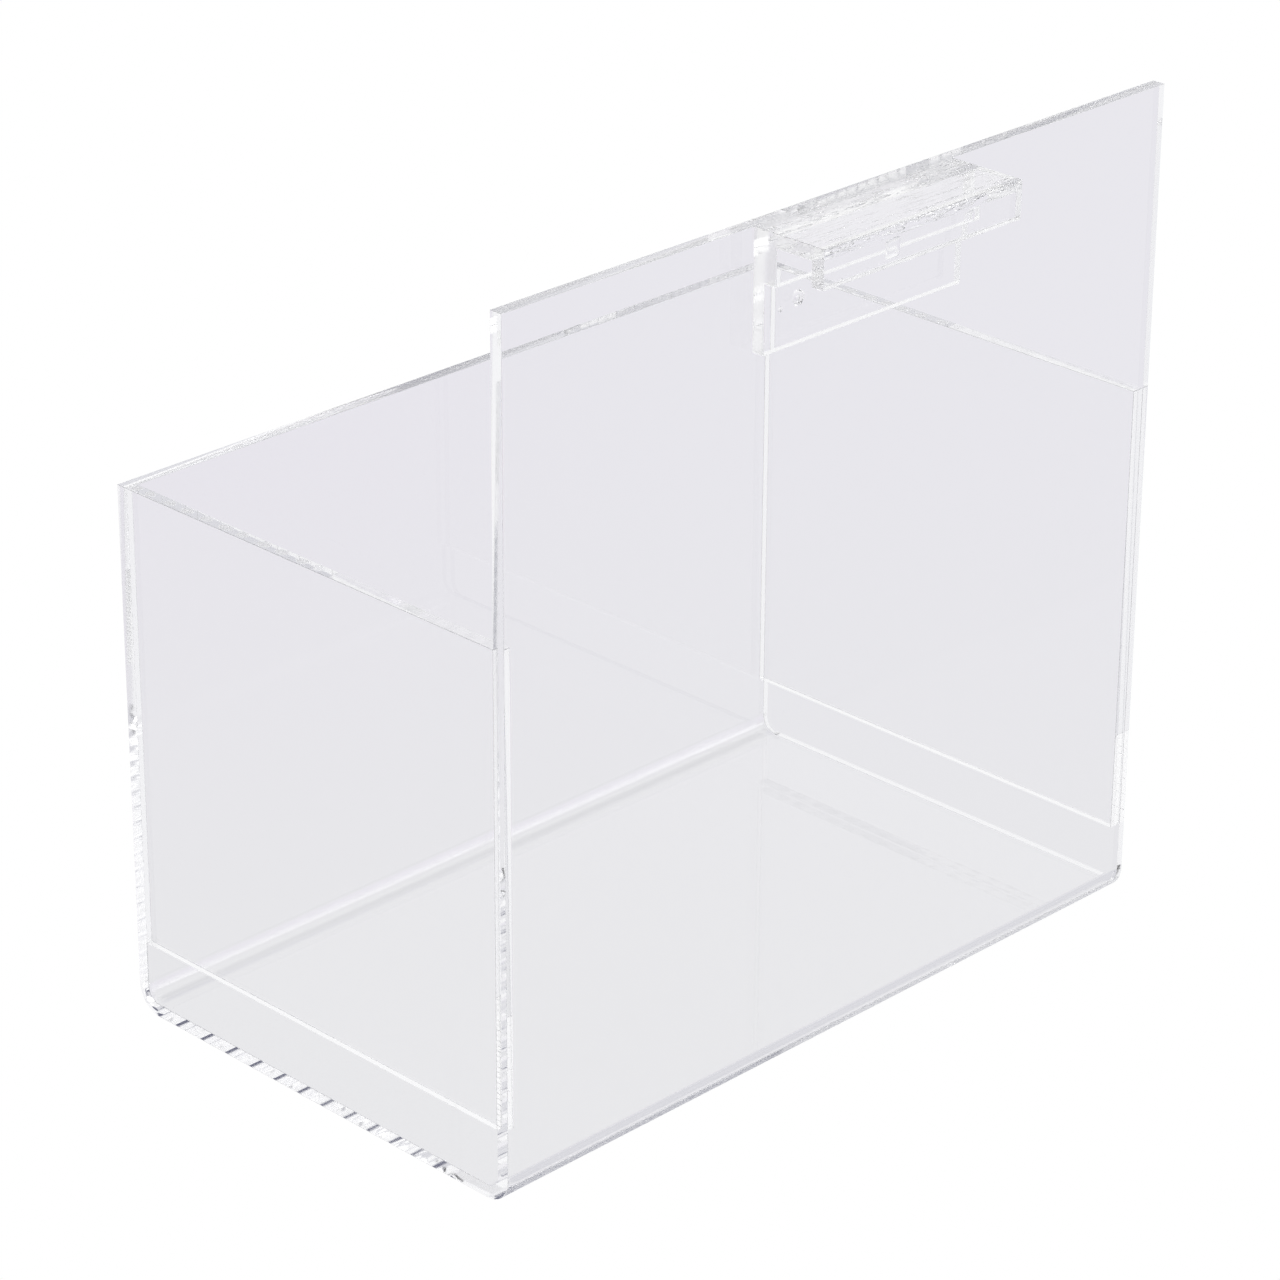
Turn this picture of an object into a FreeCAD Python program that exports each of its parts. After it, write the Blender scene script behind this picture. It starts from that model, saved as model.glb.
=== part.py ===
"""Clear acrylic hanging file bin, built from seven glued pieces of flat sheet.

One long strip of sheet is bent twice into the floor, the low front panel and the
tall back panel. Two loose end panels close it, each stopping short of the floor.
A hanger of four small plates on the outside of the tall panel hooks over a rail.

Frame: +Z up, +X along the width, +Y towards the rail that the bin hangs from.
The origin is the centre of the footprint, hanger included, on the resting plane.
Millimetres throughout.
"""
import FreeCAD, Part
import os
import Sketcher

os.makedirs("parts", exist_ok=True)
doc = FreeCAD.newDocument("hanging_file_bin")


# ---------------------------------------------------------------- dimensions
DIMENSIONS = [
    ("sheet", 4.0, "thickness of the acrylic sheet, every piece"),
    ("bin_width", 250.0, "outside width, end to end"),
    ("bin_depth", 150.0, "outside depth, front face to back face"),
    ("back_height", 250.0, "height of the tall back panel"),
    ("front_height", 160.0, "height of the front panel and of the end panels' tops"),
    ("bend_inside", 4.0, "inside radius of the two heat bends"),
    ("end_gap", 18.0, "open slot between the floor and an end panel"),
    ("edge_ease", 0.4, "chamfer of a polished cut edge"),
    ("hanger_width", 75.0, "width of the hanger, centred on the back panel"),
    ("plate_height", 34.0, "height of the plate glued to the back panel"),
    ("spacer_height", 10.5, "height of the spacer strip inside the hook"),
    ("channel", 12.0, "clear width of the hook, spacer to lip"),
    ("lip_height", 11.0, "height of the hook's lip"),
]

sheet = doc.addObject("Spreadsheet::Sheet", "Dimensions")
for row, (alias, value, meaning) in enumerate(DIMENSIONS, start=1):
    sheet.set(f"A{row}", alias)
    sheet.set(f"B{row}", str(value))
    sheet.set(f"C{row}", meaning)
    sheet.setAlias(f"B{row}", alias)
doc.recompute()

# Places along Y and Z that several pieces share, as expressions on the sheet.
THICKNESS = "Dimensions.sheet"
TOTAL_DEPTH = "(Dimensions.bin_depth + 3 * Dimensions.sheet + Dimensions.channel)"
FRONT_FACE = f"(-1 * {TOTAL_DEPTH} / 2)"
BACK_FACE = f"({FRONT_FACE} + Dimensions.bin_depth)"
PLATE_FACE = f"({BACK_FACE} + Dimensions.sheet)"
TOP = "Dimensions.back_height"

EPS = 1e-4


# ------------------------------------------------------------------- helpers
def origin_plane(body, role):
    """The body's own origin plane that has this role."""
    return next(f for f in body.Origin.OriginFeatures if f.Role == role)


def sketch_on(body, role, name):
    """An empty sketch attached flat to one of the body's origin planes."""
    sketch = body.newObject("Sketcher::SketchObject", name)
    sketch.AttachmentSupport = [(origin_plane(body, role), "")]
    sketch.MapMode = "FlatFace"
    return sketch


def closed_outline(sketch, points):
    """Straight edges through the points, joined end to end."""
    corners = [FreeCAD.Vector(x, y, 0) for x, y in points]
    for start, end in zip(corners, corners[1:] + corners[:1]):
        sketch.addGeometry(Part.LineSegment(start, end), False)
    count = len(corners)
    for i in range(count):
        sketch.addConstraint(Sketcher.Constraint("Coincident", i, 2, (i + 1) % count, 1))
    for i, (start, end) in enumerate(zip(corners, corners[1:] + corners[:1])):
        level = abs(start.y - end.y) < EPS
        sketch.addConstraint(Sketcher.Constraint("Horizontal" if level else "Vertical", i))


def bound_size(sketch, kind, first, last, value, expression):
    """A driving distance between two sketch points, tied to the dimension sheet."""
    index = sketch.addConstraint(Sketcher.Constraint(kind, *first, *last, value))
    sketch.setExpression(f"Constraints[{index}]", expression)


def pad(body, sketch, expression, both_sides=False):
    """Pad the sketch by a length from the dimension sheet."""
    feature = body.newObject("PartDesign::Pad", body.Name + "_pad")
    feature.Profile = sketch
    feature.setExpression("Length", expression)
    feature.Midplane = both_sides
    doc.recompute()
    return feature


def edges_where(feature, test):
    """Names of the edges of the feature that pass the test."""
    found = []
    for number, edge in enumerate(feature.Shape.Edges, start=1):
        if test(edge):
            found.append(f"Edge{number}")
    return found


def dress(body, kind, base, edges, size_name, expression):
    """A Fillet or a Chamfer on some edges of a feature."""
    feature = body.newObject(f"PartDesign::{kind}", f"{body.Name}_{kind.lower()}")
    feature.Base = (base, edges)
    feature.setExpression(size_name, expression)
    body.Tip = feature
    doc.recompute()
    return feature


def along(edge, axis):
    """True for a straight edge that runs along this axis (0, 1 or 2)."""
    if not isinstance(edge.Curve, Part.Line):
        return False
    return abs(abs(edge.tangentAt(edge.FirstParameter)[axis]) - 1) < EPS


def place(body, x="0", y="0", z="0"):
    """Put the body at a position given by expressions."""
    body.setExpression("Placement.Base.x", x)
    body.setExpression("Placement.Base.y", y)
    body.setExpression("Placement.Base.z", z)
    doc.recompute()


def value_of(alias):
    return float(sheet.get(alias))


def new_body(name):
    body = doc.addObject("PartDesign::Body", name)
    body.Label = name
    return body


def flat_plate(name, across, deep, tall, eased):
    """A rectangular piece of sheet, centred on X, standing on its own XY plane.

    across, deep and tall are expressions for its size along X, Y and Z. eased
    picks the edges that are chamfered, from the piece's own bounds.
    """
    body = new_body(name)
    sketch = sketch_on(body, "XY_Plane", name + "_footprint")
    closed_outline(sketch, [(-10, 0), (10, 0), (10, 5), (-10, 5)])
    sketch.addConstraint(Sketcher.Constraint("Symmetric", 0, 1, 0, 2, -1, 1))
    bound_size(sketch, "DistanceX", (0, 1), (0, 2), 20, across)
    bound_size(sketch, "DistanceY", (1, 1), (1, 2), 5, deep)
    block = pad(body, sketch, tall)
    bounds = block.Shape.BoundBox
    dress(body, "Chamfer", block, edges_where(block, lambda e: eased(e, bounds)),
          "Size", "Dimensions.edge_ease")
    return body


# ---------------------------------------------------------------- bent sheet
def make_bent_body():
    """Front panel, floor and back panel: one strip with two heat bends."""
    body = new_body("bent_body")
    sketch = sketch_on(body, "YZ_Plane", "bent_body_section")
    depth, thick = value_of("bin_depth"), value_of("sheet")
    front, back = value_of("front_height"), value_of("back_height")
    closed_outline(sketch, [
        (0, 0), (depth, 0), (depth, back), (depth - thick, back),
        (depth - thick, thick), (thick, thick), (thick, front), (0, front)])
    sketch.addConstraint(Sketcher.Constraint("Coincident", 0, 1, -1, 1))
    bound_size(sketch, "DistanceX", (0, 1), (0, 2), depth, "Dimensions.bin_depth")
    bound_size(sketch, "DistanceY", (1, 1), (1, 2), back, TOP)
    bound_size(sketch, "DistanceX", (2, 2), (2, 1), thick, THICKNESS)
    bound_size(sketch, "DistanceY", (0, 1), (4, 1), thick, THICKNESS)
    bound_size(sketch, "DistanceX", (7, 2), (5, 2), thick, THICKNESS)
    bound_size(sketch, "DistanceY", (7, 2), (7, 1), front, "Dimensions.front_height")
    strip = pad(body, sketch, "Dimensions.bin_width", both_sides=True)

    def corner_at(inset):
        def test(edge):
            middle = edge.CenterOfMass
            at_wall = min(abs(middle.y - inset), abs(middle.y - (depth - inset))) < EPS
            return along(edge, 0) and at_wall and abs(middle.z - inset) < EPS
        return test

    outside = dress(body, "Fillet", strip, edges_where(strip, corner_at(0)),
                    "Radius", f"Dimensions.bend_inside + {THICKNESS}")
    inside = dress(body, "Fillet", outside, edges_where(outside, corner_at(thick)),
                   "Radius", "Dimensions.bend_inside")

    def polished(edge):
        box = edge.BoundBox
        on_end = abs(abs(box.XMin) - value_of("bin_width") / 2) < EPS and box.XLength < EPS
        ends = [vertex.Point for vertex in edge.Vertexes]
        outer = all(p.y < EPS or p.y > depth - EPS or p.z < EPS for p in ends)
        on_top = along(edge, 0) and abs(box.ZMax - front) < EPS
        on_back_top = along(edge, 0) and abs(box.ZMax - back) < EPS
        return (on_end and outer) or on_top or on_back_top

    dress(body, "Chamfer", inside, edges_where(inside, polished),
          "Size", "Dimensions.edge_ease")
    place(body, y=FRONT_FACE)
    return body


# ---------------------------------------------------------------- end panels
def make_end_panel(name, side):
    """A flat panel glued between front and back, flush with the bin's end."""
    inner_depth = f"Dimensions.bin_depth - 2 * {THICKNESS}"
    foot = f"({THICKNESS} + Dimensions.end_gap)"

    def eased(edge, bounds):
        return along(edge, 1)

    body = flat_plate(name, THICKNESS, inner_depth,
                      f"Dimensions.front_height - {foot}", eased)
    inset = f"(Dimensions.bin_width - {THICKNESS}) / 2"
    place(body, x=f"{side} * {inset}", y=f"{FRONT_FACE} + {THICKNESS}", z=foot)
    return body


# -------------------------------------------------------------------- hanger
def outer_x_edges(edge, bounds):
    """The two edges along X on the side that faces away from the bin."""
    return along(edge, 0) and abs(edge.CenterOfMass.y - bounds.YMax) < EPS


def end_y_edges(edge, bounds):
    """The upper edges at both ends of a plate."""
    return along(edge, 1) and abs(edge.CenterOfMass.z - bounds.ZMax) < EPS


def lower_outer_edge(edge, bounds):
    """The edge along X at the foot of the outer face."""
    return outer_x_edges(edge, bounds) and abs(edge.CenterOfMass.z - bounds.ZMin) < EPS


def lip_edges(edge, bounds):
    """Every long edge of the lip except the one hidden in its glue joint."""
    hidden = (abs(edge.CenterOfMass.z - bounds.ZMax) < EPS
              and abs(edge.CenterOfMass.y - bounds.YMin) < EPS)
    return along(edge, 0) and not hidden


def make_hanger():
    """Plate, spacer, bridge and lip, glued into a hook over the rail."""
    wide = "Dimensions.hanger_width"
    plate = flat_plate("hanger_plate", wide, THICKNESS, "Dimensions.plate_height",
                       lower_outer_edge)
    place(plate, y=BACK_FACE, z=f"{TOP} - Dimensions.plate_height")

    spacer = flat_plate("hanger_spacer", wide, THICKNESS, "Dimensions.spacer_height",
                        lower_outer_edge)
    place(spacer, y=PLATE_FACE, z=f"{TOP} - {THICKNESS} - Dimensions.spacer_height")

    bridge = flat_plate("hanger_bridge", wide, f"{THICKNESS} + Dimensions.channel",
                        THICKNESS, end_y_edges)
    place(bridge, y=PLATE_FACE, z=f"{TOP} - {THICKNESS}")

    lip = flat_plate("hanger_lip", wide, THICKNESS, "Dimensions.lip_height", lip_edges)
    place(lip, y=f"{PLATE_FACE} + {THICKNESS} + Dimensions.channel",
          z=f"{TOP} - Dimensions.lip_height")
    return [plate, spacer, bridge, lip]


# --------------------------------------------------------------------- build
pieces = [make_bent_body()]
pieces.append(make_end_panel("end_panel_left", -1))
pieces.append(make_end_panel("end_panel_right", 1))
pieces += make_hanger()
doc.recompute()

for item in doc.Objects:
    if {"Invalid", "Error"} & set(item.State):
        raise RuntimeError(f"{item.Name} failed: {item.State}")

for piece in pieces:
    shape = piece.Shape
    if shape.isNull() or not shape.isValid():
        raise RuntimeError(f"{piece.Label} has no valid shape")

for piece in pieces:
    box = piece.Shape.BoundBox
    print(f"{piece.Label}: {piece.Shape.Volume / 1000:.1f} cm3,",
          f"X {box.XMin:.1f} to {box.XMax:.1f},",
          f"Y {box.YMin:.1f} to {box.YMax:.1f},",
          f"Z {box.ZMin:.1f} to {box.ZMax:.1f}")
    piece.Shape.exportStep(f"parts/{piece.Label}.step")
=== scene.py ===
"""Looks for the hanging file bin: bent clear acrylic, two end panels and a rail hanger."""

import math
import random

import bmesh
import bpy
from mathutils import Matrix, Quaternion, Vector, noise


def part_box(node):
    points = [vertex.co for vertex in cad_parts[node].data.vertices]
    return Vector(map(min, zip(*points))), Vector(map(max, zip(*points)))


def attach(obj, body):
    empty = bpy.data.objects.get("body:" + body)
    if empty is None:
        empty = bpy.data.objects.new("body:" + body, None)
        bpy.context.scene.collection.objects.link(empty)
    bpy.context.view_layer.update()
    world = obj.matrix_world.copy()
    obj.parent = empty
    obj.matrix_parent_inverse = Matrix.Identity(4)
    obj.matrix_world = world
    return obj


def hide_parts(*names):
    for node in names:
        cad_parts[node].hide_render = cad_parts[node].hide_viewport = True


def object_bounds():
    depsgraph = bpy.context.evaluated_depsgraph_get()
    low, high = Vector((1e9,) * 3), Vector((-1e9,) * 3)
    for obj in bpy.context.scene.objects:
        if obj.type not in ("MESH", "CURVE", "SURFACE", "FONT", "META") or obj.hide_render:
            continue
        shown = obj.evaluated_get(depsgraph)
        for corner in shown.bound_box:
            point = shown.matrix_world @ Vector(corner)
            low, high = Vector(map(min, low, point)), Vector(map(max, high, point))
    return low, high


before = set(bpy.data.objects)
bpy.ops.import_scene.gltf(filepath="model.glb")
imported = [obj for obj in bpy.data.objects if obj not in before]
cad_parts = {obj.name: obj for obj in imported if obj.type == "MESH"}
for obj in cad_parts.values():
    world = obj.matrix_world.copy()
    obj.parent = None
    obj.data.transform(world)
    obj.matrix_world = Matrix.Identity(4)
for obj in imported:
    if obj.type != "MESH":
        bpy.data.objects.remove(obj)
CAD_LO, CAD_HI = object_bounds()
random.seed(41)

MM = 0.001
NEAR = 0.01 * MM

# ---- sizes shared with the CAD model ------------------------------------------------
BEND_OUTSIDE = 8.0 * MM
END_LO, END_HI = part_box("end_panel_left")
SHEET = END_HI.x - END_LO.x

# ---- mesh detail --------------------------------------------------------------------
EASED_EDGE = 0.13 * MM
EASED_STEPS = 2
BEND_STEPS = 24
SHARP_ANGLE = math.radians(60)
# a face looks along an axis when that part of its normal is larger than this
SQUARE_ON = 0.9
PLACE_DIGITS = 7

# ---- acrylic ------------------------------------------------------------------------
ACRYLIC_IOR = 1.49
ACRYLIC_TINT = (0.982, 0.982, 0.984, 1.0)
MILKY_TINT = (0.985, 0.985, 0.975, 1.0)
EVEN = (1.0, 1.0, 1.0)
ALONG_RAIL = (0.10, 1.0, 1.0)
ALONG_DEPTH = (0.0, 1.0, 0.0)
# noise values between which a surface goes from its smoothest to its roughest
NOISE_LOW = 0.35
NOISE_HIGH = 0.75
SMUDGE_SCALE = 14.0
SMUDGE_ROUGH = 0.02
CUT_MARK_SCALE = 260.0
CUT_SMOOTH_SHARE = 0.4
CUT_RELIEF = 0.2
SCUFF_SCALE = 900.0
SCUFF_RANGE = (0.50, 0.66)
SCUFF_CLEAR = 0.80
SCUFF_ROUGHNESS = (0.03, 0.32)
SCUFF_RELIEF = 0.3
SCUFF_DEPTH = 0.08 * MM

# ---- pips on the end panels' top edges ----------------------------------------------
PIP_PITCH = 7.5 * MM
PIP_HALF_LENGTH = 2.3 * MM
PIP_HALF_WIDTH = 1.5 * MM
PIP_WANDER_SCALE = 90.0
PIP_LUMP_SCALE = 700.0
PIP_LUMPINESS = 1.2
PIP_RIM = (1.15, 0.65)
PIP_CLEAR = 0.45
PIP_ROUGHNESS = (0.01, 0.5)
PIP_RELIEF = 0.2
PIP_DEPTH = 0.03 * MM
PIPS_SHARE = 0.52
PIPS_FADE = 10 * MM
PIPS_END_Y = END_LO.y + PIPS_SHARE * (END_HI.y - END_LO.y)

# ---- cement in the hanger's joints --------------------------------------------------
BLOB_UNEVENNESS = 0.22
POCKET_RADIUS = 0.35 * MM
POCKET_SHORTEST = 0.6 * MM
POCKET_THICKNESS = 0.07 * MM
POCKET_END_GAP = 1.5 * MM
POCKET_REACH = 0.8
POCKET_EDGE_GAP = 0.9 * MM
PLATE_BACK_HEIGHT = 6 * MM
BUBBLE_THICKNESS = 0.16 * MM
DOUBLE_BUBBLE_FROM = 2 * MM
DOUBLE_BUBBLE_SHIFT = Vector((0.3 * MM, 0.4 * MM, 0))
DOUBLE_BUBBLE_RADII = (MM, 0.1 * MM, MM)
# place along the rail, height from the plate's top, radius
RING_BUBBLES = (
    (22.8 * MM, -22.5 * MM, 2.3 * MM),
    (8.9 * MM, -21.6 * MM, 1.2 * MM),
    (29.5 * MM, -24.0 * MM, 0.8 * MM),
)
RUN_STEPS = 20
RUN_SQUARENESS = 0.35
# share taken off the size, distance from the lip
RUN_RINGS = (
    (0.0, 0.02 * MM),
    (0.06, 0.16 * MM),
    (0.5, 0.17 * MM),
)
# place along the rail of the end with the larger x, width, height of the top, drop
CEMENT_RUNS = (
    (12.6 * MM, 5.6 * MM, 245.6 * MM, 5.4 * MM),
    (-17.5 * MM, 4.0 * MM, 245.4 * MM, 3.2 * MM),
)

# ---- camera and light paths ---------------------------------------------------------
CAMERA_AZIMUTH = 134.77
CAMERA_ELEVATION = 25.05
CAMERA_ROLL = 0.32
CAMERA_DISTANCE = 1.287
CAMERA_LENS = 131.2
AIM_FROM_CENTRE = Vector((0.0131, -0.0007, -0.0188))
SENSOR_WIDTH = 36.0
FAR_CLIP = 50.0
BOUNCES = 160
TRANSPARENT_BOUNCES = 32

# ---- studio colours -----------------------------------------------------------------
SEEN_WHITE = (1.0, 1.0, 1.0, 1.0)
NEAR_GREY = (0.796, 0.796, 0.814, 1.0)
FAR_GREY = (0.812, 0.802, 0.850, 1.0)
LEFT_GREY = (0.806, 0.786, 0.846, 1.0)
UNDER_GREY = (0.70, 0.70, 0.74, 1.0)
HORIZON = (1.05, 1.05, 1.05, 1.0)
SIDE_SWEEP = (0.935, 0.935, 0.950, 1.0)
FRONT_FLOOR = (0.64, 0.64, 0.69, 1.0)
BACK_WALL = (0.98, 0.98, 0.99, 1.0)
BACK_DIM = (0.70, 0.70, 0.74, 1.0)
WINDOW = (2.6, 2.6, 2.6, 1.0)
FRONT_CORNER = (0.22, 0.22, 0.27, 1.0)
LEFT_SOFTBOX = (1.05, 1.05, 1.05, 1.0)
RIGHT_ROOM = (0.06, 0.065, 0.13, 1.0)
HIGH_LIGHT = (1.25, 1.25, 1.25, 1.0)
FRONT_ROOM = (0.55, 0.55, 0.60, 1.0)
CEILING = (1.6, 1.6, 1.6, 1.0)

# ---- studio limits ------------------------------------------------------------------
# A FADE runs from its first value to its second; HEIGHT and SIDE hold the low limit, the
# high limit and the soft width of a band. Heights are the z of a world direction, and the
# others say how far its level part points to one side (1 is straight at it).
DIAGONAL = 0.7071
SIDE_FADE = (0.55, 0.80)
HORIZON_BLEND = (0.0, 0.06)
DOWN_FADE = (-0.50, -0.36)
LEFT_GREY_FADE = (0.02, -0.10)
HORIZON_FADE = (-0.30, -0.14)
UNDER_FADE = (-0.57, -0.67)
WALL_HEIGHT = (0.30, 0.52, 0.06)
BEHIND_FADE = (0.50, 0.80)
SOFTBOX_FADE = (0.40, 0.60)
HIGH_FADE = (0.48, 0.58)
CEILING_FADE = (0.75, 0.85)
ROOM_SIDE = (0.24, 0.93, 0.04)
ROOM_HEIGHT = (0.64, 0.89, 0.03)
WINDOW_AIM = (-0.66, 0.74, 0.13)
WINDOW_RIM = (0.970, 0.982)
CORNER_FADE = (0.50, 0.70)
CORNER_HEIGHT = (0.5, 0.9, 0.06)
FLOOR_HALF = 4.0
FLOOR_CELLS = 8
FLOOR_DROP = 0.4 * MM


# ---- node helpers -------------------------------------------------------------------
def add_node(tree, kind, **settings):
    """A new node with its settings filled in."""
    node = tree.nodes.new(kind)
    for key, value in settings.items():
        setattr(node, key, value)
    return node


def math_node(tree, operation, a, b=None):
    """One sum on sockets or plain numbers."""
    node = add_node(tree, "ShaderNodeMath", operation=operation)
    for index, value in enumerate((a, b)):
        if value is None:
            continue
        if isinstance(value, (int, float)):
            node.inputs[index].default_value = value
        else:
            tree.links.new(value, node.inputs[index])
    return node.outputs[0]


def smooth_step(tree, value, start, end):
    """0 at start and 1 at end, with a soft run between them."""
    node = add_node(tree, "ShaderNodeMapRange", interpolation_type="SMOOTHSTEP")
    tree.links.new(value, node.inputs["Value"])
    node.inputs["From Min"].default_value = start
    node.inputs["From Max"].default_value = end
    return node.outputs["Result"]


def mix_colour(tree, factor, a, b):
    """Colour a where the factor is 0 and colour b where it is 1."""
    node = add_node(tree, "ShaderNodeMix", data_type="RGBA")
    tree.links.new(factor, node.inputs["Factor"])
    for socket, value in ((node.inputs[6], a), (node.inputs[7], b)):
        if isinstance(value, tuple):
            socket.default_value = value
        else:
            tree.links.new(value, socket)
    return node.outputs[2]


# ---- materials ----------------------------------------------------------------------
def acrylic(name):
    """Plain clear acrylic, which every material here starts from."""
    material = bpy.data.materials.new(name)
    material.use_nodes = True
    tree = material.node_tree
    shader = tree.nodes["Principled BSDF"]
    shader.inputs["Base Color"].default_value = ACRYLIC_TINT
    shader.inputs["IOR"].default_value = ACRYLIC_IOR
    shader.inputs["Transmission Weight"].default_value = 1.0
    shader.inputs["Roughness"].default_value = 0.0
    return material, tree, shader


def stretched_noise(tree, scale, stretch, detail):
    """Noise drawn out along one axis: larger stretch numbers give finer detail that way."""
    place = add_node(tree, "ShaderNodeTexCoord").outputs["Object"]
    spread = add_node(tree, "ShaderNodeMapping")
    spread.inputs["Scale"].default_value = stretch
    tree.links.new(place, spread.inputs["Vector"])
    grain = add_node(tree, "ShaderNodeTexNoise")
    grain.inputs["Scale"].default_value = scale
    grain.inputs["Detail"].default_value = detail
    tree.links.new(spread.outputs["Vector"], grain.inputs["Vector"])
    return grain.outputs["Fac"]


def noisy_roughness(tree, shader, grain, smoothest, roughest):
    """Roughness that follows a noise between two limits."""
    rough = add_node(tree, "ShaderNodeMapRange")
    rough.inputs["From Min"].default_value = NOISE_LOW
    rough.inputs["From Max"].default_value = NOISE_HIGH
    rough.inputs["To Min"].default_value = smoothest
    rough.inputs["To Max"].default_value = roughest
    tree.links.new(grain, rough.inputs["Value"])
    tree.links.new(rough.outputs["Result"], shader.inputs["Roughness"])


def relief(tree, shader, height, strength, depth):
    """Fine surface relief that follows a height value."""
    bump = add_node(tree, "ShaderNodeBump")
    bump.inputs["Strength"].default_value = strength
    bump.inputs["Distance"].default_value = depth
    tree.links.new(height, bump.inputs["Height"])
    tree.links.new(bump.outputs["Normal"], shader.inputs["Normal"])


def polished_sheet():
    """The sheet's own faces: polished, with faint smudges."""
    material, tree, shader = acrylic("acrylic_polished_face")
    smudges = stretched_noise(tree, SMUDGE_SCALE, EVEN, 4.0)
    noisy_roughness(tree, shader, smudges, 0.0, SMUDGE_ROUGH)
    return material


def cut_edge(name, roughest, bump_depth, clear=1.0):
    """A cut face with fine marks; one that isn't fully clear is also slightly milky."""
    material, tree, shader = acrylic(name)
    shader.inputs["Transmission Weight"].default_value = clear
    if clear < 1.0:
        shader.inputs["Base Color"].default_value = MILKY_TINT
    marks = stretched_noise(tree, CUT_MARK_SCALE, EVEN, 3.0)
    noisy_roughness(tree, shader, marks, roughest * CUT_SMOOTH_SHARE, roughest)
    relief(tree, shader, marks, CUT_RELIEF, bump_depth)
    return material


def masked_milk(tree, shader, mask, clear, roughness):
    """Where the mask is 1 the surface turns from clear to slightly milky and rough."""
    for socket, low, high in (
        ("Transmission Weight", 1.0, clear),
        ("Roughness", *roughness),
    ):
        spread = add_node(tree, "ShaderNodeMapRange")
        spread.inputs["To Min"].default_value = low
        spread.inputs["To Max"].default_value = high
        tree.links.new(mask, spread.inputs["Value"])
        tree.links.new(spread.outputs["Result"], shader.inputs[socket])


def scuffed_top():
    """Hanger faces that look up: cement haze and scuffs drawn out along the rail."""
    material, tree, shader = acrylic("acrylic_scuffed_top")
    shader.inputs["Base Color"].default_value = MILKY_TINT
    streaks = stretched_noise(tree, SCUFF_SCALE, ALONG_RAIL, 5.0)
    mask = smooth_step(tree, streaks, *SCUFF_RANGE)
    masked_milk(tree, shader, mask, SCUFF_CLEAR, SCUFF_ROUGHNESS)
    relief(tree, shader, streaks, SCUFF_RELIEF, SCUFF_DEPTH)
    return material


def pip_field(tree):
    """Squared distance from the nearest pip centre, 0 there and about 1 at the rim, and y."""
    place = add_node(tree, "ShaderNodeTexCoord").outputs["Object"]
    split = add_node(tree, "ShaderNodeSeparateXYZ")
    tree.links.new(place, split.inputs[0])
    wander = stretched_noise(tree, PIP_WANDER_SCALE, ALONG_DEPTH, 1.0)
    count = math_node(tree, "MULTIPLY", split.outputs[1], 1.0 / PIP_PITCH)
    count = math_node(tree, "ADD", count, wander)
    along = math_node(tree, "SUBTRACT", math_node(tree, "FRACT", count), 0.5)
    along = math_node(tree, "MULTIPLY", along, PIP_PITCH / PIP_HALF_LENGTH)
    offset = math_node(tree, "ABSOLUTE", split.outputs[0])
    across = math_node(tree, "SUBTRACT", offset, abs(END_LO.x + END_HI.x) / 2)
    across = math_node(tree, "MULTIPLY", across, 1.0 / PIP_HALF_WIDTH)
    along = math_node(tree, "POWER", along, 2.0)
    across = math_node(tree, "POWER", across, 2.0)
    far = math_node(tree, "ADD", along, across)
    lumps = stretched_noise(tree, PIP_LUMP_SCALE, EVEN, 2.0)
    lumps = math_node(tree, "SUBTRACT", lumps, 0.5)
    lumps = math_node(tree, "MULTIPLY", lumps, PIP_LUMPINESS)
    return math_node(tree, "ADD", far, lumps), split.outputs[1]


def rippled_edge():
    """Top edge of the end panels: white pips along its front half, clear behind them."""
    material, tree, shader = acrylic("acrylic_rippled_edge")
    far, depth = pip_field(tree)
    pips = smooth_step(tree, far, *PIP_RIM)
    front = smooth_step(tree, depth, PIPS_END_Y + PIPS_FADE, PIPS_END_Y - PIPS_FADE)
    mask = math_node(tree, "MULTIPLY", pips, front)
    masked_milk(tree, shader, mask, PIP_CLEAR, PIP_ROUGHNESS)
    relief(tree, shader, mask, PIP_RELIEF, PIP_DEPTH)
    return material


FACE_ACRYLIC = polished_sheet()
EDGE_ACRYLIC = cut_edge("acrylic_flamed_edge", 0.03, 0.002 * MM)
SAWN_ACRYLIC = cut_edge("acrylic_sawn_edge", 0.14, 0.01 * MM, 0.92)
CORNER_ACRYLIC = cut_edge("acrylic_scraped_corner", 0.40, 0.001 * MM)
SCUFFED_ACRYLIC = scuffed_top()
RIPPLED_ACRYLIC = rippled_edge()


# ---- joints -------------------------------------------------------------------------
NODES = sorted(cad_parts)


def contacts(node):
    """The flat patches, as thin boxes, where a neighbour is glued to this node."""
    lo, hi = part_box(node)
    found = []
    for other in NODES:
        if other == node:
            continue
        low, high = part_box(other)
        a = Vector(map(max, lo, low))
        b = Vector(map(min, hi, high))
        if all(b[i] - a[i] > -NEAR for i in range(3)):
            found.append((a, b))
    return found


def inside(point, patch):
    """True for a point in or on a thin box."""
    low, high = patch
    return all(low[i] - NEAR < point[i] < high[i] + NEAR for i in range(3))


def is_glued(face, patches):
    """True for a face that lies flat on a thin patch shared with a neighbour."""
    centre = face.calc_center_median()
    for patch in patches:
        thin = [i for i in range(3) if patch[1][i] - patch[0][i] < NEAR]
        if thin and inside(centre, patch) and abs(face.normal[thin[0]]) > SQUARE_ON:
            return True
    return False


# ---- mesh makers --------------------------------------------------------------------
def new_object(name, made):
    """Turns a finished bmesh into an object in the scene."""
    mesh = bpy.data.meshes.new(name)
    made.to_mesh(mesh)
    made.free()
    item = bpy.data.objects.new(name, mesh)
    bpy.context.scene.collection.objects.link(item)
    return item


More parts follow.
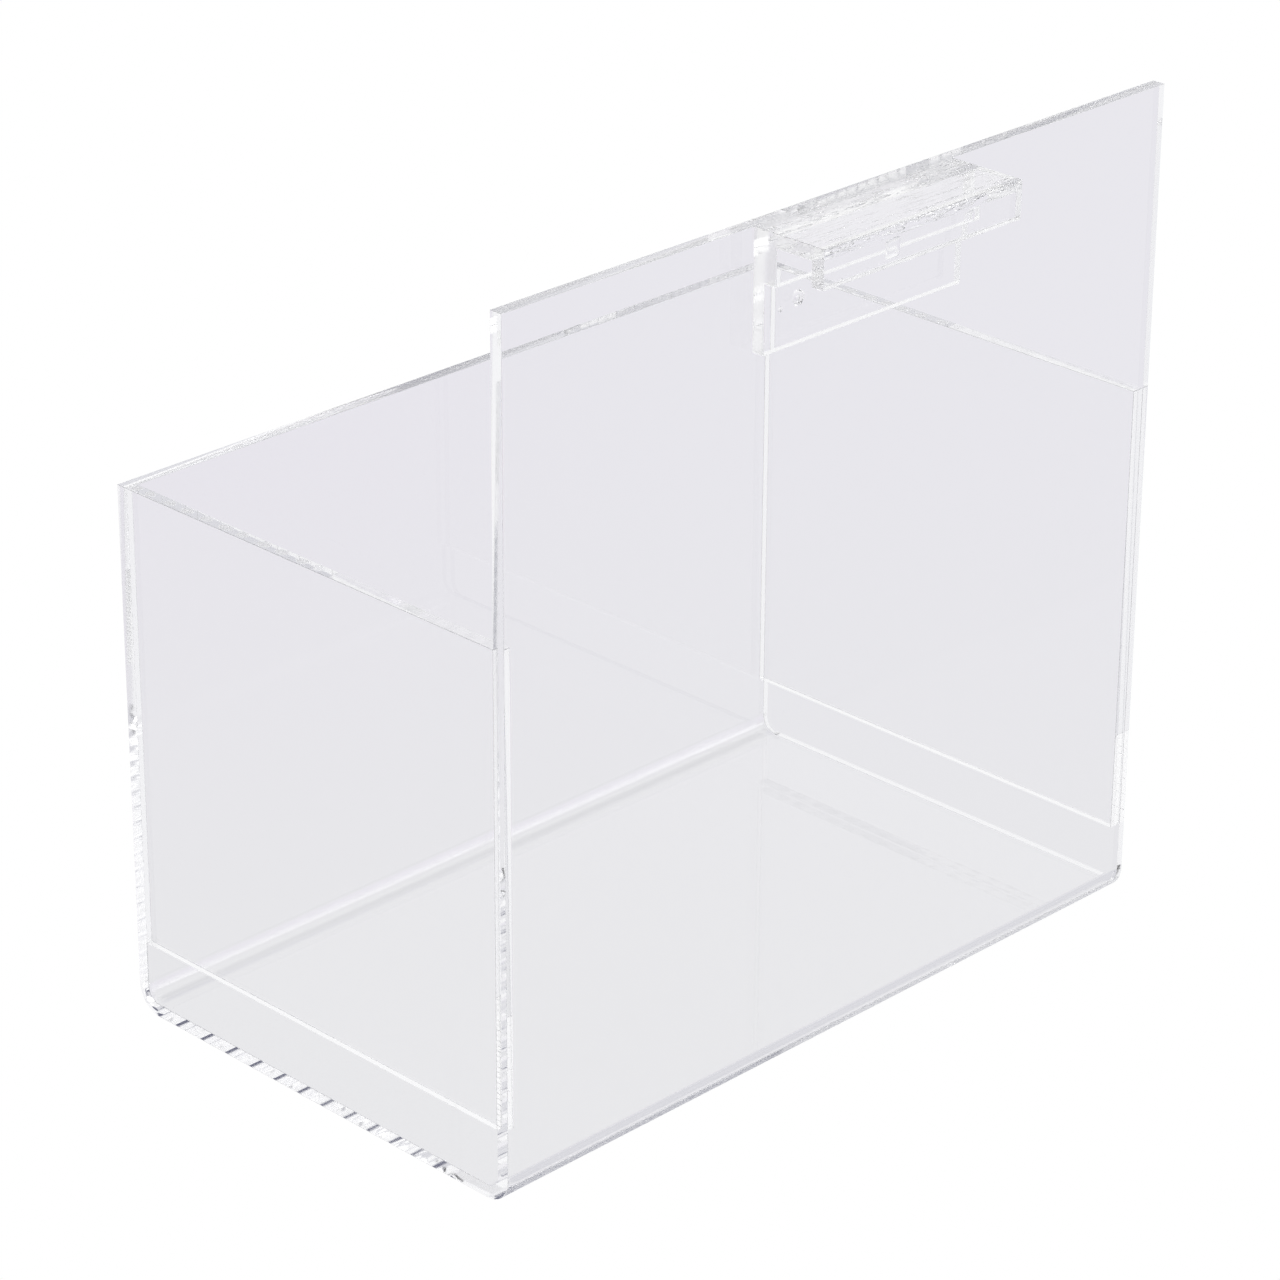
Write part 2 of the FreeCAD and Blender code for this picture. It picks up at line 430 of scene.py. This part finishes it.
def looks(node):
    """Polished face, cut edge, scraped corner and upward edge of one piece."""
    if node.startswith("hanger"):
        return FACE_ACRYLIC, SAWN_ACRYLIC, CORNER_ACRYLIC, SCUFFED_ACRYLIC
    if node.startswith("end"):
        return FACE_ACRYLIC, EDGE_ACRYLIC, CORNER_ACRYLIC, RIPPLED_ACRYLIC
    return FACE_ACRYLIC, EDGE_ACRYLIC, CORNER_ACRYLIC


def look_of(face, node, cut_axes):
    """Material number of a face, in the order that looks() gives."""
    if face.normal.z > SQUARE_ON and node != "bent_body":
        return 3
    return 1 if any(abs(face.normal[i]) > SQUARE_ON for i in cut_axes) else 0


def finish_piece(mesh_data, name, node, cut_normals):
    """Opens the glued faces, eases the free edges and makes the object."""
    bmesh.ops.recalc_face_normals(mesh_data, faces=mesh_data.faces)
    patches = contacts(node) if node != "bent_body" else body_contacts()
    glued = [f for f in mesh_data.faces if is_glued(f, patches)]
    bmesh.ops.delete(mesh_data, geom=glued, context="FACES")
    for face in mesh_data.faces:
        face.material_index = look_of(face, node, cut_normals(face))
    sharp = [
        e
        for e in mesh_data.edges
        if len(e.link_faces) == 2 and e.calc_face_angle() > SHARP_ANGLE
    ]
    bmesh.ops.bevel(
        mesh_data,
        geom=sharp,
        offset=EASED_EDGE,
        segments=EASED_STEPS,
        profile=0.5,
        affect="EDGES",
        clamp_overlap=True,
        material=2,
    )
    piece = new_object(name, mesh_data)
    for material in looks(node):
        piece.data.materials.append(material)
    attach(piece, "root")
    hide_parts(node)
    return piece


def body_contacts():
    """Where the end panels and the hanger plate are glued to the bent sheet."""
    found = []
    for other in ("end_panel_left", "end_panel_right"):
        low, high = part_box(other)
        for wall_y in (low.y, high.y):
            a = Vector((low.x, wall_y, low.z))
            b = Vector((high.x, wall_y, high.z))
            found.append((a, b))
    low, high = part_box("hanger_plate")
    found.append((Vector((low.x, low.y, low.z)), Vector((high.x, low.y, high.z))))
    return found


def cuts_along(axis, low, high, patches):
    """Sorted places along one axis where the grid needs a line."""
    places = {round(low, PLACE_DIGITS), round(high, PLACE_DIGITS)}
    for patch in patches:
        for corner in patch:
            if low + NEAR < corner[axis] < high - NEAR:
                places.add(round(corner[axis], PLACE_DIGITS))
    return sorted(places)


def flat_block(node, cut_axes):
    """A flat cut piece as a shell of quads, split where its neighbours end."""
    lo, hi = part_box(node)
    patches = contacts(node)
    lines = [cuts_along(i, lo[i], hi[i], patches) for i in range(3)]
    made = bmesh.new()
    corners = {}

    def corner(i, j, k):
        key = (i, j, k)
        if key not in corners:
            spot = (lines[0][i], lines[1][j], lines[2][k])
            corners[key] = made.verts.new(spot)
        return corners[key]

    for axis in range(3):
        u, v = [i for i in range(3) if i != axis]
        for side in (0, len(lines[axis]) - 1):
            for a in range(len(lines[u]) - 1):
                for b in range(len(lines[v]) - 1):
                    ring = []
                    for da, db in ((0, 0), (1, 0), (1, 1), (0, 1)):
                        index = [0, 0, 0]
                        index[axis] = side
                        index[u] = a + da
                        index[v] = b + db
                        ring.append(corner(*index))
                    made.faces.new(ring)
    return finish_piece(made, node + "_acrylic", node, lambda face: cut_axes)


def bent_profile():
    """Outside point, inside point and whether curved, from the low front to the back."""
    lo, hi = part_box("bent_body")
    front_top = END_HI.z
    slot_top = END_LO.z
    plate_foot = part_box("hanger_plate")[0].z
    inner = BEND_OUTSIDE - SHEET
    pairs = []
    for z in (front_top, slot_top):
        pairs.append(((lo.y, z), (lo.y + SHEET, z), False))
    for centre_y, start in ((lo.y + BEND_OUTSIDE, 180.0), (hi.y - BEND_OUTSIDE, 270.0)):
        for step in range(BEND_STEPS + 1):
            angle = math.radians(start + 90.0 * step / BEND_STEPS)
            c, s = math.cos(angle), math.sin(angle)
            outside = (centre_y + BEND_OUTSIDE * c, lo.z + BEND_OUTSIDE * (1 + s))
            inside_point = (centre_y + inner * c, lo.z + BEND_OUTSIDE + inner * s)
            pairs.append((outside, inside_point, 0 < step <= BEND_STEPS))
    for z in (slot_top, front_top, plate_foot, hi.z):
        pairs.append(((hi.y, z), (hi.y - SHEET, z), False))
    return pairs


def bent_sheet():
    """The one sheet that makes the low front, the floor and the tall back."""
    lo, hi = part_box("bent_body")
    lines = cuts_along(0, lo.x, hi.x, body_contacts())
    pairs = bent_profile()
    made = bmesh.new()
    outer = [[made.verts.new((x, *p[0])) for x in lines] for p in pairs]
    inner = [[made.verts.new((x, *p[1])) for x in lines] for p in pairs]
    for i in range(len(pairs) - 1):
        curved = pairs[i + 1][2]
        for j in range(len(lines) - 1):
            for skin in (outer, inner):
                ring = (skin[i][j], skin[i][j + 1], skin[i + 1][j + 1], skin[i + 1][j])
                made.faces.new(ring).smooth = curved
        for j in (0, len(lines) - 1):
            made.faces.new((outer[i][j], inner[i][j], inner[i + 1][j], outer[i + 1][j]))
    for i in (0, len(pairs) - 1):
        for j in range(len(lines) - 1):
            made.faces.new((outer[i][j], outer[i][j + 1], inner[i][j + 1], inner[i][j]))

    def cut_axes(face):
        top = face.calc_center_median().z > END_HI.z - NEAR
        return (0, 2) if top else (0,)

    return finish_piece(made, "bent_body_acrylic", "bent_body", cut_axes)


# ---- cement joints of the hanger ----------------------------------------------------
def lumpy_ball(made, centre, radii, inward):
    """A small uneven blob; an air pocket has its faces turned to its own inside."""
    blob = bmesh.ops.create_icosphere(made, subdivisions=2, radius=1.0)
    for vert in blob["verts"]:
        swell = 1.0 + BLOB_UNEVENNESS * noise.noise(vert.co * 2.3 + centre * 900.0)
        vert.co = Vector([vert.co[i] * radii[i] * swell for i in range(3)]) + centre
    faces = list({f for v in blob["verts"] for f in v.link_faces})
    for face in faces:
        face.smooth = True
    if inward:
        bmesh.ops.reverse_faces(made, faces=faces)


def hanger_detail(name, made):
    """An extra piece that belongs to the hanger and replaces no CAD node."""
    piece = new_object(name, made)
    piece.data.materials.append(FACE_ACRYLIC)
    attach(piece, "root")
    return piece


def joint_pockets(name, low, high, thin, count, longest, crowd):
    """Flat air pockets scattered over one cement joint, drawn out along the rail.

    The joint lies between low and high and is flat across the axis thin. With crowd
    under 1 more of the pockets are near its low end.
    """
    made = bmesh.new()
    length = high.x - low.x - 2 * POCKET_END_GAP
    for _ in range(count):
        along = random.random() ** crowd
        spot = Vector([low[i] + (high[i] - low[i]) * random.random() for i in range(3)])
        spot.x = high.x - POCKET_END_GAP - length * along
        size = random.random() ** 2
        to_end = min(high.x - spot.x, spot.x - low.x)
        radii = [POCKET_RADIUS * (1 + size)] * 3
        radii[0] = min(POCKET_SHORTEST + longest * size, to_end * POCKET_REACH)
        radii[thin] = POCKET_THICKNESS
        lumpy_ball(made, spot, radii, True)
    hanger_detail(name, made)


def ring_bubbles():
    """Round bubbles pressed flat behind the hanger plate."""
    low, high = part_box("hanger_plate")
    made = bmesh.new()
    for dx, dz, radius in RING_BUBBLES:
        spot = Vector((dx, low.y, high.z + dz))
        lumpy_ball(made, spot, (radius, BUBBLE_THICKNESS, radius), True)
        if radius > DOUBLE_BUBBLE_FROM:
            lumpy_ball(made, spot + DOUBLE_BUBBLE_SHIFT, DOUBLE_BUBBLE_RADII, True)
    hanger_detail("cement_ring_bubbles", made)


def run_ring(made, run, inset, distance):
    """One rounded rectangle around a cement run, at a distance from the lip."""
    left, width, top, drop = run
    lip_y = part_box("hanger_lip")[0].y
    ring = []
    for step in range(RUN_STEPS):
        turn = 2 * math.pi * step / RUN_STEPS
        c, s = math.cos(turn), math.sin(turn)
        across = math.copysign(abs(c) ** RUN_SQUARENESS, c) * (1 - inset) * width / 2
        down = math.copysign(abs(s) ** RUN_SQUARENESS, s) * (1 - inset) * drop / 2
        spot = (left - width / 2 + across, lip_y - distance, top - drop / 2 + down)
        ring.append(made.verts.new(spot))
    return ring


def cement_runs():
    """Two thin flat runs of cement that dried on the inside of the lip."""
    made = bmesh.new()
    for run in CEMENT_RUNS:
        rings = [run_ring(made, run, inset, distance) for inset, distance in RUN_RINGS]
        for a, b in zip(rings, rings[1:]):
            for i in range(RUN_STEPS):
                j = (i + 1) % RUN_STEPS
                made.faces.new((a[i], a[j], b[j], b[i])).smooth = True
        made.faces.new(rings[-1])
        made.faces.new(list(reversed(rings[0])))
    bmesh.ops.recalc_face_normals(made, faces=made.faces)
    hanger_detail("cement_runs", made)


def upright_pockets(name, owner, y, heights, **scatter):
    """Pockets in an upright joint at one y, as long as the piece that owns it."""
    low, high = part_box(owner)
    start = Vector((low.x, y, heights[0]))
    stop = Vector((high.x, y, heights[1]))
    joint_pockets(name, start, stop, thin=1, **scatter)


def cement_joints():
    """Air pockets in the four cemented joints of the hanger."""
    plate_low, plate_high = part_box("hanger_plate")
    spacer_low, spacer_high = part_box("hanger_spacer")
    bridge_low, bridge_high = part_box("hanger_bridge")
    gap = POCKET_EDGE_GAP
    top_strip = (plate_high.z - PLATE_BACK_HEIGHT, plate_high.z - gap)
    bridge_strip = (bridge_low.z + gap, bridge_high.z - gap)
    upright_pockets(
        "cement_plate_to_back", "hanger_plate", plate_low.y, top_strip,
        count=34, longest=3.2 * MM, crowd=0.6,
    )
    upright_pockets(
        "cement_plate_to_bridge", "hanger_plate", plate_high.y, bridge_strip,
        count=30, longest=4.5 * MM, crowd=0.8,
    )
    joint_pockets(
        "cement_spacer_to_bridge",
        Vector((spacer_low.x, spacer_low.y + gap, spacer_high.z)),
        Vector((spacer_high.x, spacer_high.y - gap, spacer_high.z)),
        thin=2, count=36, longest=4.0 * MM, crowd=0.8,
    )
    upright_pockets(
        "cement_bridge_to_lip", "hanger_bridge", bridge_high.y, bridge_strip,
        count=22, longest=3.0 * MM, crowd=0.9,
    )


# ---- stage --------------------------------------------------------------------------
def seen_or_lit(tree, lit):
    """White where it is looked at directly, the soft studio level everywhere else."""
    path = add_node(tree, "ShaderNodeLightPath")
    return mix_colour(tree, path.outputs["Is Camera Ray"], lit, SEEN_WHITE)


def sides(tree, direction):
    """How far a direction, flattened, points to the front corner and to the right of it."""
    flat = add_node(tree, "ShaderNodeVectorMath", operation="MULTIPLY")
    tree.links.new(direction, flat.inputs[0])
    flat.inputs[1].default_value = (1.0, 1.0, 0.0)
    unit = add_node(tree, "ShaderNodeVectorMath", operation="NORMALIZE")
    tree.links.new(flat.outputs[0], unit.inputs[0])
    found = []
    for along in ((DIAGONAL, DIAGONAL, 0.0), (-DIAGONAL, DIAGONAL, 0.0)):
        dot = add_node(tree, "ShaderNodeVectorMath", operation="DOT_PRODUCT")
        tree.links.new(unit.outputs[0], dot.inputs[0])
        dot.inputs[1].default_value = along
        found.append(dot.outputs["Value"])
    return found


def band(tree, value, low, high, soft):
    """1 between low and high, fading to 0 over the soft width outside them."""
    rise = smooth_step(tree, value, low - soft, low)
    fall = smooth_step(tree, value, high + soft, high)
    return math_node(tree, "MULTIPLY", rise, fall)


def lower_light(tree, direction, height):
    """Pale floor: grey below, lavender far off, bright at the horizon and both sides."""
    front, right = sides(tree, direction)
    far = mix_colour(tree, smooth_step(tree, right, *LEFT_GREY_FADE), FAR_GREY, LEFT_GREY)
    level = mix_colour(tree, smooth_step(tree, height, *DOWN_FADE), NEAR_GREY, far)
    level = mix_colour(tree, smooth_step(tree, height, *HORIZON_FADE), level, HORIZON)
    aside = smooth_step(tree, math_node(tree, "ABSOLUTE", right), *SIDE_FADE)
    level = mix_colour(tree, aside, level, SIDE_SWEEP)
    level = mix_colour(tree, smooth_step(tree, height, *UNDER_FADE), level, UNDER_GREY)
    return mix_colour(tree, smooth_step(tree, front, *SIDE_FADE), level, FRONT_FLOOR)


def wall_light(tree, front, right, height):
    """Back wall with a dim zone above and below it, softbox on the left, dim front."""
    left = math_node(tree, "MULTIPLY", right, -1.0)
    behind = math_node(tree, "MULTIPLY", front, -1.0)
    dim = math_node(tree, "SUBTRACT", 1.0, band(tree, height, *WALL_HEIGHT))
    dim = math_node(tree, "MULTIPLY", dim, smooth_step(tree, behind, *BEHIND_FADE))
    level = mix_colour(tree, dim, BACK_WALL, BACK_DIM)
    level = mix_colour(tree, smooth_step(tree, left, *SOFTBOX_FADE), level, LEFT_SOFTBOX)
    level = mix_colour(tree, smooth_step(tree, front, *SIDE_FADE), level, FRONT_ROOM)
    not_behind = smooth_step(tree, behind, *reversed(BEHIND_FADE))
    high = math_node(tree, "MULTIPLY", smooth_step(tree, height, *HIGH_FADE), not_behind)
    return mix_colour(tree, high, level, HIGH_LIGHT)


def upper_light(tree, direction, height):
    """The walls with the ceiling, the unlit room, the window and the front corner."""
    front, right = sides(tree, direction)
    level = wall_light(tree, front, right, height)
    level = mix_colour(tree, smooth_step(tree, height, *CEILING_FADE), level, CEILING)
    room = math_node(
        tree, "MULTIPLY", band(tree, right, *ROOM_SIDE), band(tree, height, *ROOM_HEIGHT)
    )
    level = mix_colour(tree, room, level, RIGHT_ROOM)
    window = add_node(tree, "ShaderNodeVectorMath", operation="DOT_PRODUCT")
    tree.links.new(direction, window.inputs[0])
    window.inputs[1].default_value = WINDOW_AIM
    window_mask = smooth_step(tree, window.outputs["Value"], *WINDOW_RIM)
    level = mix_colour(tree, window_mask, level, WINDOW)
    near = smooth_step(tree, front, *CORNER_FADE)
    corner = math_node(tree, "MULTIPLY", near, band(tree, height, *CORNER_HEIGHT))
    return mix_colour(tree, corner, level, FRONT_CORNER)


def make_floor():
    """A plain white floor that only the camera sees."""
    made = bmesh.new()
    bmesh.ops.create_grid(
        made, x_segments=FLOOR_CELLS, y_segments=FLOOR_CELLS, size=FLOOR_HALF
    )
    floor = new_object("floor", made)
    floor.location.z = CAD_LO.z - FLOOR_DROP
    material = bpy.data.materials.new("pale_floor")
    material.use_nodes = True
    tree = material.node_tree
    tree.nodes.remove(tree.nodes["Principled BSDF"])
    glow = add_node(tree, "ShaderNodeEmission")
    glow.inputs["Color"].default_value = SEEN_WHITE
    tree.links.new(glow.outputs[0], tree.nodes["Material Output"].inputs["Surface"])
    floor.data.materials.append(material)
    for ray in ("diffuse", "glossy", "transmission", "volume_scatter", "shadow"):
        setattr(floor, "visible_" + ray, False)


def make_world():
    """The studio light, which depends only on the world direction it comes from."""
    world = bpy.data.worlds.new("studio")
    bpy.context.scene.world = world
    world.use_nodes = True
    tree = world.node_tree
    place = add_node(tree, "ShaderNodeTexCoord").outputs["Generated"]
    split = add_node(tree, "ShaderNodeSeparateXYZ")
    tree.links.new(place, split.inputs[0])
    height = split.outputs[2]
    below = lower_light(tree, place, height)
    above = upper_light(tree, place, height)
    level = mix_colour(tree, smooth_step(tree, height, *HORIZON_BLEND), below, above)
    background = tree.nodes["Background"]
    tree.links.new(seen_or_lit(tree, level), background.inputs["Color"])


def make_camera():
    """The camera, placed around the middle of the part."""
    data = bpy.data.cameras.new("camera")
    data.lens = CAMERA_LENS
    data.sensor_width = SENSOR_WIDTH
    data.clip_end = FAR_CLIP
    camera = bpy.data.objects.new("camera", data)
    bpy.context.scene.collection.objects.link(camera)
    a = math.radians(CAMERA_AZIMUTH)
    e = math.radians(CAMERA_ELEVATION)
    back = Vector((math.sin(a) * math.cos(e), -math.cos(a) * math.cos(e), math.sin(e)))
    aim = (CAD_LO + CAD_HI) / 2 + AIM_FROM_CENTRE
    camera.location = aim + back * CAMERA_DISTANCE
    turn = (-back).to_track_quat("-Z", "Y")
    camera.rotation_mode = "QUATERNION"
    roll = Quaternion((0, 0, 1), math.radians(CAMERA_ROLL))
    camera.rotation_quaternion = turn @ roll
    bpy.context.scene.camera = camera


def render_settings():
    """Plain colours, and enough bounces for light that is piped along the sheets."""
    scene = bpy.context.scene
    scene.view_settings.view_transform = "Standard"
    scene.cycles.max_bounces = BOUNCES
    scene.cycles.transmission_bounces = BOUNCES
    scene.cycles.glossy_bounces = BOUNCES
    scene.cycles.transparent_max_bounces = TRANSPARENT_BOUNCES


make_camera()
make_world()
make_floor()
render_settings()
bent_sheet()
flat_block("end_panel_left", (2,))
flat_block("end_panel_right", (2,))
flat_block("hanger_plate", (0, 2))
flat_block("hanger_spacer", (0, 2))
flat_block("hanger_bridge", (0, 1))
flat_block("hanger_lip", (0, 2))
ring_bubbles()
cement_joints()
cement_runs()
